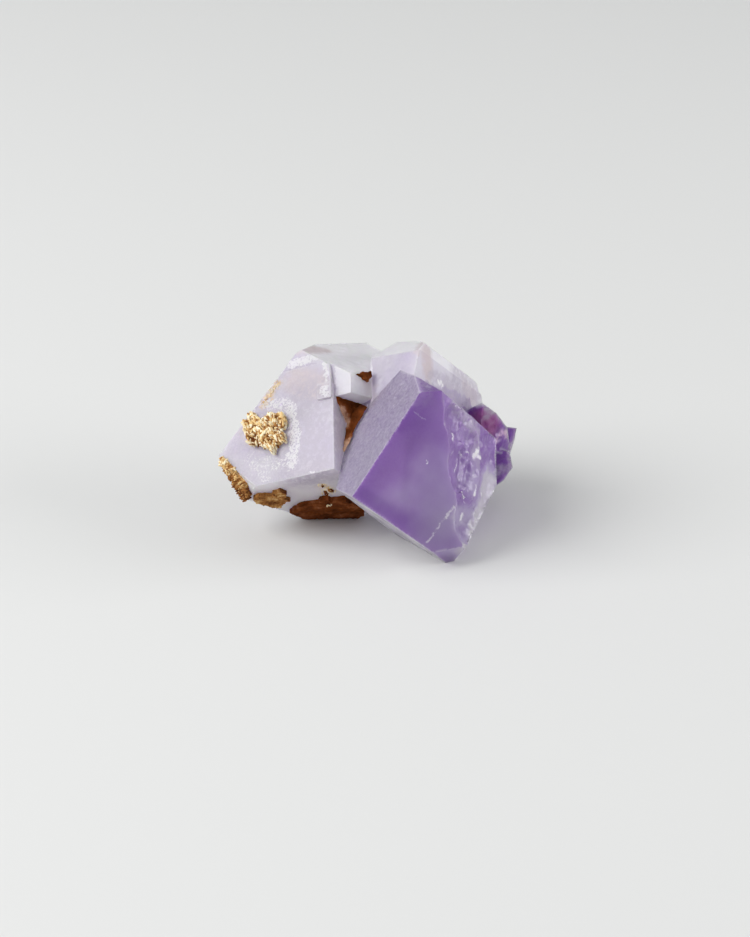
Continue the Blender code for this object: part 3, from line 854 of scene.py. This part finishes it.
def fluorite_material(settings):
    """See-through fluorite: violet by depth, stained, frosted, flaked and cracked, with a painted glow,
    painted edge highlights, a painted glint and painted shadow lines.
    """
    made, tree, shader = new_material("frosted fluorite")
    violet = lattice_coordinates(tree, VIOLET_CORNER, VIOLET_TURN)
    pale = lattice_coordinates(tree, PALE_CORNER, PALE_TURN)
    # The edge channel is a painted highlight on sharp edges.
    depth, frost, flake, edge = channels(tree, "growth")
    warm, magenta, rust, chalk = channels(tree, "stain")
    grey, pink, strip, rose = channels(tree, "bloom")

    wide = reckon(tree, "SUBTRACT", cloud(tree, violet, 0.16, 2), 0.5)
    swing = reckon(tree, "MULTIPLY_ADD", depth, 0.3, 0.06)
    mottled = reckon(tree, "MULTIPLY_ADD", wide, swing, depth)
    colour = colour_ramp(tree, mottled, ((0, settings.pale_colour), *BANDS, (1, settings.violet_colour)))

    along = vectors(tree, "MULTIPLY", i0=violet, i1=(1, 1, 0.35))[0]
    chips = cloud(tree, violet, 1.1, 5, 0.7)
    grain = cloud(tree, pale, 2.2, 4, 0.7)
    fine = cloud(tree, along, 2.6, 5, 0.7)
    flecks = cloud(tree, along, 0.9, 6, 0.68)
    spots = cloud(tree, pale, 1.6, 4, 0.7)
    frosty = times(tree, frost, ramp(tree, grain, 0.38, 0.62))
    # White chalk patches, one of them a painted glint on the ridge.
    sprinkled = reckon(tree, "MULTIPLY_ADD", chalk, 0.36, cloud(tree, pale, 2.3, 4, 0.75))
    chalk_and_glint_spots = times(tree, ramp(tree, sprinkled, 0.76, 0.88), 0.9)
    # Chalk, and a painted highlight along the sharp edges.
    worn = reckon(tree, "MAXIMUM", chalk_and_glint_spots, times(tree, edge, 0.3))
    white = reckon(tree, "MAXIMUM", crack_marks(tree, violet, CRACKS), worn)
    for mask, share, over in (
            (warm, 0.85, WARM),
            (magenta, 0.8, MAGENTA),
            (times(tree, grey, ramp(tree, chips, 0.35, 0.55, 0.3, 1)), 1, GREY),
            (times(tree, pink, ramp(tree, chips, 0.35, 0.6, 0.2, 1)), 1, PINK),
            (rose, 0.6, ROSE),
            (strip, 0.52, STRIP),
            (frosty, 0.3, FROST),
            (times(tree, strip, ramp(tree, fine, 0.54, 0.68)), 0.42, SPECKLE),
            (times(tree, strip, ramp(tree, fine, 0.44, 0.32)), 0.55, DARK),
            (times(tree, flake, ramp(tree, flecks, 0.5, 0.7)), 0.75, FLAKE),
            (times(tree, rust, ramp(tree, spots, 0.35, 0.6)), 1, RUST),
            # Faint cracks, and a painted shadow line under the ledge.
            (crack_marks(tree, pale, SEAMS_AND_SHADOW_LINES), 1, SEAM_AND_SHADOW),
            (white, 1, WHITE)):
        colour = blend(tree, times(tree, mask, share), colour, over)
    rough = reckon(tree, "MULTIPLY_ADD", frosty, 0.3, 0.28)
    rough = reckon(tree, "MAXIMUM", rough, times(tree, white, 0.7))
    put(shader, Base_Color=colour, Roughness=rough, IOR=1.434, Transmission_Weight=settings.clarity,
        Subsurface_Weight=settings.milkiness, Subsurface_Radius=(1, 0.85, 1.1), Subsurface_Scale=6 * MM)
    height = reckon(tree, "MULTIPLY_ADD", grain, frost, times(tree, flecks, flake))
    bumped(tree, shader, height, 0.3, 0.05)

    body = new_node(tree, "ShaderNodeVolumeAbsorption")
    put(body, Color=(0.84, 0.76, 0.94, 1), Density=10)
    put(tree.nodes["Material Output"], Volume=body.outputs[0])
    return made


def mineral_material(name, colours, roughness, scale):
    """A matte mineral: each grain has its own tint, with fine mottling."""
    made, tree, shader = new_material(name)
    pale = lattice_coordinates(tree, PALE_CORNER, PALE_TURN)
    mottle = reckon(tree, "MULTIPLY_ADD", cloud(tree, pale, scale, 5, 0.7), 1.1, -0.55)
    value = reckon(tree, "ADD", attribute(tree, "tint")["Fac"], mottle)
    steps = [(index / (len(colours) - 1), colour) for index, colour in enumerate(colours)]
    put(shader, Base_Color=colour_ramp(tree, value, steps), Roughness=roughness, Specular_IOR_Level=0.08)
    bumped(tree, shader, cloud(tree, pale, scale * 2.5, 4, 0.7), 0.5, 0.12)
    return made


def ochre_material(settings):
    """Grains from dark brown through golden ochre to cream."""
    colours = ((0.12, 0.035, 0.01), (0.42, 0.19, 0.055), settings.ochre_colour, (0.96, 0.88, 0.66))
    return mineral_material("golden ochre", colours, 0.95, 1.4)


def limonite_material(settings):
    """Matte reddish-brown limonite."""
    rust = Vector(settings.limonite_colour)
    colours = (rust * 0.25, rust * 0.6, rust, (0.26, 0.085, 0.03), (0.6, 0.36, 0.24))
    return mineral_material("matte limonite", colours, 0.9, 0.7)


def found_or(name, build, settings):
    """A material by name, built the first time."""
    return bpy.data.materials.get(name) or build(settings)


def finish(piece, material, slot, angle):
    """Give a piece its material, its shading and its body."""
    piece.data.materials.clear()
    piece.data.materials.append(material)
    alone(piece)
    bpy.ops.object.shade_smooth_by_angle(angle=math.radians(angle))
    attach(piece, "root")


# ---------------------------------------------------------------- settings

COLOUR = {"subtype": "COLOR", "size": 3, "min": 0, "max": 1}
SHARE = {"subtype": "FACTOR", "min": 0, "max": 1}


class CrystalSettings(bpy.types.PropertyGroup):
    """Sizes and colours of the crystals."""
    pale_colour: bpy.props.FloatVectorProperty(
        name="Pale", description="Colour of the pale crystals", default=(0.94, 0.92, 0.96), **COLOUR)
    violet_colour: bpy.props.FloatVectorProperty(
        name="Violet", description="Deepest colour of the violet crystal",
        default=(0.13, 0.022, 0.27), **COLOUR)
    clarity: bpy.props.FloatProperty(
        name="Clarity", description="Share of the light that passes into the crystal",
        default=0.42, **SHARE)
    milkiness: bpy.props.FloatProperty(
        name="Milkiness", description="Share of the rest that scatters below the surface",
        default=0.6, **SHARE)
    relief: bpy.props.FloatProperty(
        name="Relief", description="Strength of the facets' fine relief", min=0, max=2, default=1)
    edge_wear: bpy.props.FloatProperty(
        name="Edge wear", description="How far edges are worn back", unit="LENGTH",
        min=0, max=0.0005, default=0.00007, precision=5)


class CrustSettings(bpy.types.PropertyGroup):
    """Sizes and colours of the crusts."""
    grain_low: bpy.props.FloatProperty(
        name="Smallest grain", description="Size of the smallest grain in millimetres",
        min=0.1, max=1, default=0.32)
    grain_high: bpy.props.FloatProperty(
        name="Largest grain", description="Size of the largest grain in millimetres",
        min=0.2, max=2, default=1.15)
    ochre_colour: bpy.props.FloatVectorProperty(
        name="Ochre", description="Golden colour of the grains", default=(0.82, 0.6, 0.28), **COLOUR)
    limonite_colour: bpy.props.FloatVectorProperty(
        name="Limonite", description="Colour of the matte limonite",
        default=(0.17, 0.042, 0.008), **COLOUR)


class StageSettings(bpy.types.PropertyGroup):
    """Colour of the sweep and strength of the light."""
    floor_colour: bpy.props.FloatVectorProperty(
        name="Floor", description="Colour of the pale sweep", default=(0.665, 0.665, 0.655), **COLOUR)
    key_light: bpy.props.FloatProperty(
        name="Key light", description="Power of the soft light from the left",
        unit="POWER", min=0, default=8.4)
    bounce_light: bpy.props.FloatProperty(
        name="Bounce light", description="Power of the low light from the right",
        unit="POWER", min=0, default=4.2)
    fill_light: bpy.props.FloatProperty(
        name="Fill light", description="Strength of the light from all round", min=0, default=0.55)


# ---------------------------------------------------------------- operators

class FLUORITE_OT_crystals(bpy.types.Operator):
    """Make the crystals with their relief, worn edges and colours"""
    bl_idname = "fluorite.crystals"
    bl_label = "Crystals"

    def execute(self, context):
        settings = context.scene.fluorite_crystal
        piece = copied("fluorite_crystals", "crystals")
        refine(piece, longest=0.55)
        refine(piece, longest=0.34, inside=fractured)
        roughen(piece, settings)
        finish(piece, found_or("frosted fluorite", fluorite_material, settings), "fluorite", angle=38)
        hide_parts("fluorite_crystals")
        return {"FINISHED"}


class FLUORITE_OT_ochre(bpy.types.Operator):
    """Heap ochre grains on the front, corner and underside crusts"""
    bl_idname = "fluorite.ochre"
    bl_label = "Ochre crusts"

    def execute(self, context):
        settings = context.scene.fluorite_crust
        low, high = settings.grain_low, settings.grain_high
        masters = [pebble(f"grain_{index}", 2, index) for index in range(4)]
        rng = random.Random(7)
        jobs = (
            ("golden_crust", FRONT_FACE, 820, (0.85 * low, 0.85 * high),
             (0.26, 1.2), 0.18, 0.26, (-0.3, 1, 0.7)),
            ("corner_crust", CORNER_FACE, 340, (0.8 * low, 0.7 * high),
             (-0.1, 0.42), 0.1, 0.2, (0.3, 0.3, 1)),
            ("underside_crust", LOWER_FACE, 60, (0.2, 0.4),
             (0.1, 0.4), 0.28, 0.14, (0, 0, 1)),
        )
        for node, place, count, sizes, tones, tone, lumps, lie in jobs:
            name = node.replace("_crust", "_grains")
            piece, outward = crust_base(node, name, place, cell=0.4, lumps=lumps, tone=tone)
            spots = surface_spots(piece, outward, count, rng)
            along = (place.to_3x3() @ Vector(lie)).normalized()
            joined(piece, scatter(masters, spots, sizes, rng, tones, along))
            if node == "corner_crust":
                lighten_upwards(piece, 0.5)
            finish(piece, found_or("golden ochre", ochre_material, settings), "ochre", angle=22)
            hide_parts(node)
        drop(masters)
        return {"FINISHED"}


class FLUORITE_OT_limonite(bpy.types.Operator):
    """Make the matte limonite under the crystals, in the notch and in the pocket"""
    bl_idname = "fluorite.limonite"
    bl_label = "Limonite"

    def execute(self, context):
        settings = context.scene.fluorite_crust
        material = found_or("matte limonite", limonite_material, settings)
        for node, place, cell, lumps in (("foot_crust", LOWER_FACE, 0.4, 0.16),
                                         ("notch_crust", NOTCH_FACE, 0.35, 0.12)):
            name = node.replace("_crust", "_limonite")
            piece, _outward = crust_base(node, name, place, cell, lumps, tone=0.46)
            finish(piece, material, "limonite", angle=50)
            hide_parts(node)
        self.filling(material)
        return {"FINISHED"}

    def filling(self, material):
        """Swell the pocket's limonite, and lighten and redden its tail and its rim."""
        piece = copied("pocket_limonite", "pocket_filling")
        refine(piece, 0.35)
        shape = bmesh.new()
        shape.from_mesh(piece.data)
        shape.normal_update()
        for vertex in shape.verts:
            spot = vertex.co / (0.8 * MM)
            bumps = noise.noise(spot) + 0.8 * noise.noise(spot * 2.2)
            vertex.co += vertex.normal * ((0.22 + 0.16 * bumps) * MM)
        shape.to_mesh(piece.data)
        shape.free()
        tinted(piece, 0.25)
        tint = piece.data.attributes["tint"].data
        for index, vertex in enumerate(piece.data.vertices):
            inside = INTO_PALE @ vertex.co / MM
            # The tail's lighter tint is partly the limonite's pinkish tone and partly painted light where
            # the pocket's low end lies in shade.
            tail = 1 - smooth_step(5, 9, inside.z)
            rim = (1 - smooth_step(0.5, 1.4, inside.x)) * smooth_step(7.5, 9, inside.z)
            tint[index].value += 0.8 * tail + 0.75 * rim * (1 - smooth_step(11.6, 12.8, inside.z))
        finish(piece, material, "limonite", angle=50)
        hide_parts("pocket_limonite")


class FLUORITE_OT_specks(bpy.types.Operator):
    """Sprinkle small ochre specks and dust on the pale crystal"""
    bl_idname = "fluorite.specks"
    bl_label = "Specks"

    def execute(self, context):
        settings = context.scene.fluorite_crust
        rng = random.Random(19)
        masters = [pebble(f"speck_{index}", 2, index + 9) for index in range(3)]
        grains = []
        for across, away, size in SPECKS:
            middle = Vector((across, -away, 0))
            for _lump in range(5):
                shift = Vector((rng.uniform(-0.3, 0.3), rng.uniform(-0.6, 0.6), 0)) * size
                spot = LOWER_FACE @ ((middle + shift) * MM)
                grains += scatter(masters, [spot], (0.6 * size, 0.8 * size), rng, (0, 0.2))
            for _grain in range(26):
                angle = rng.uniform(0, math.tau)
                reach = size * rng.uniform(0.6, 1)
                spot = middle + Vector((reach * math.cos(angle), 1.4 * reach * math.sin(angle), 0.03))
                grains += scatter(masters, [LOWER_FACE @ (spot * MM)], (0.2, 0.4), rng, (0.8, 1.2))
        for _grain in range(90):
            part = rng.random()
            across = -13.9 + 3.3 * part + rng.gauss(0, 0.3)
            up = 14.4 + 3.6 * part + rng.gauss(0, 0.35)
            spot = FRONT_FACE @ (Vector((across, up, 0.02)) * MM)
            grains += scatter(masters, [spot], (0.12, 0.34), rng, (0.5, 1.1))
        for across, up, size in FOOT_GRAINS:
            spot = LOWER_FACE @ (Vector((across, up, 1)) * MM)
            grains += scatter(masters[:1], [spot], (size, size), rng, (0.9, 1))
        for spot in POCKET_GRAINS:
            grains += scatter(masters, [PALE @ (Vector(spot) * MM)], (0.5, 0.8), rng, (0.7, 0.9))
        piece = joined(grains[0], grains[1:])
        piece.name = "ochre_specks"
        finish(piece, found_or("golden ochre", ochre_material, settings), "ochre", angle=22)
        drop(masters)
        return {"FINISHED"}


class FLUORITE_OT_stage(bpy.types.Operator):
    """Make the pale sweep, the soft light and the camera"""
    bl_idname = "fluorite.stage"
    bl_label = "Stage"

    def execute(self, context):
        settings = context.scene.fluorite_stage
        self.sweep(settings)
        self.lights(context, settings)
        self.camera(context)
        context.scene.view_settings.view_transform = "Standard"
        return {"FINISHED"}

    def sweep(self, settings):
        """A pale floor that curves up into a back wall."""
        bpy.ops.object.select_all(action="DESELECT")
        bpy.ops.mesh.primitive_plane_add(size=4, location=(0, 0, 0))
        floor = bpy.context.object
        floor.name = "pale_sweep"
        switch("EDIT")
        bpy.ops.mesh.select_mode(type="EDGE")
        bpy.ops.mesh.select_all(action="DESELECT")
        shape = bmesh.from_edit_mesh(floor.data)
        for edge in shape.edges:
            edge.select = all(vertex.co.y > 1.9 for vertex in edge.verts)
        bmesh.update_edit_mesh(floor.data)
        bpy.ops.mesh.extrude_region_move(TRANSFORM_OT_translate={"value": (0, 0, 3)})
        switch("OBJECT")
        alone(floor)
        bend = floor.modifiers.new("bend", "BEVEL")
        bend.width = 1.2
        bend.segments = 16
        bend.limit_method = "ANGLE"
        bpy.ops.object.modifier_apply(modifier="bend")
        bpy.ops.object.shade_smooth()
        made, _tree, shader = new_material("pale floor")
        put(shader, Base_Color=(*settings.floor_colour, 1), Roughness=0.9, Specular_IOR_Level=0.1)
        floor.data.materials.append(made)

    def lights(self, context, settings):
        """Two soft lamps and a faint light from all round."""
        powers = {"key": settings.key_light, "bounce": settings.bounce_light}
        for name, size, place in LAMPS:
            light = bpy.data.lights.new(name, "AREA")
            light.shape = "DISK"
            light.size = size
            light.energy = powers[name]
            lamp = bpy.data.objects.new(name, light)
            lamp.location = place
            lamp.rotation_euler = (Vector((0, 0, 0.01)) - lamp.location).to_track_quat("-Z", "Y").to_euler()
            context.scene.collection.objects.link(lamp)
        world = bpy.data.worlds.new("studio")
        world.use_nodes = True
        put(world.node_tree.nodes["Background"], Color=(0.96, 0.98, 1, 1), Strength=settings.fill_light)
        context.scene.world = world

    def camera(self, context):
        """A long lens that looks down at the cluster."""
        eye = bpy.data.cameras.new("camera")
        eye.lens = LENS
        eye.sensor_width = 36
        viewer = bpy.data.objects.new("camera", eye)
        viewer.location = VIEWPOINT
        viewer.rotation_euler = (math.radians(VIEW_TILT), 0, 0)
        context.scene.collection.objects.link(viewer)
        context.scene.camera = viewer


OPERATORS = (FLUORITE_OT_crystals, FLUORITE_OT_ochre, FLUORITE_OT_limonite,
             FLUORITE_OT_specks, FLUORITE_OT_stage)


class FLUORITE_PT_panel(bpy.types.Panel):
    """The pieces and their settings"""
    bl_label = "Fluorite cluster"
    bl_space_type = "VIEW_3D"
    bl_region_type = "UI"
    bl_category = "Fluorite"

    def draw(self, context):
        layout, scene = self.layout, context.scene
        for group in (scene.fluorite_crystal, scene.fluorite_crust, scene.fluorite_stage):
            box = layout.box()
            for name in group.__annotations__:
                box.prop(group, name)
        for operator in OPERATORS:
            layout.operator(operator.bl_idname)


CLASSES = (CrystalSettings, CrustSettings, StageSettings, *OPERATORS, FLUORITE_PT_panel)


def register():
    """Register the classes and hang the settings on the scene."""
    for item in CLASSES:
        bpy.utils.register_class(item)
    bpy.types.Scene.fluorite_crystal = bpy.props.PointerProperty(type=CrystalSettings)
    bpy.types.Scene.fluorite_crust = bpy.props.PointerProperty(type=CrustSettings)
    bpy.types.Scene.fluorite_stage = bpy.props.PointerProperty(type=StageSettings)


def unregister():
    """Undo what register did."""
    del bpy.types.Scene.fluorite_stage
    del bpy.types.Scene.fluorite_crust
    del bpy.types.Scene.fluorite_crystal
    for item in reversed(CLASSES):
        bpy.utils.unregister_class(item)


def main():
    """Make every piece and the stage."""
    register()
    bpy.ops.fluorite.crystals()
    bpy.ops.fluorite.ochre()
    bpy.ops.fluorite.limonite()
    bpy.ops.fluorite.specks()
    bpy.ops.fluorite.stage()


if __name__ == "__main__":
    main()
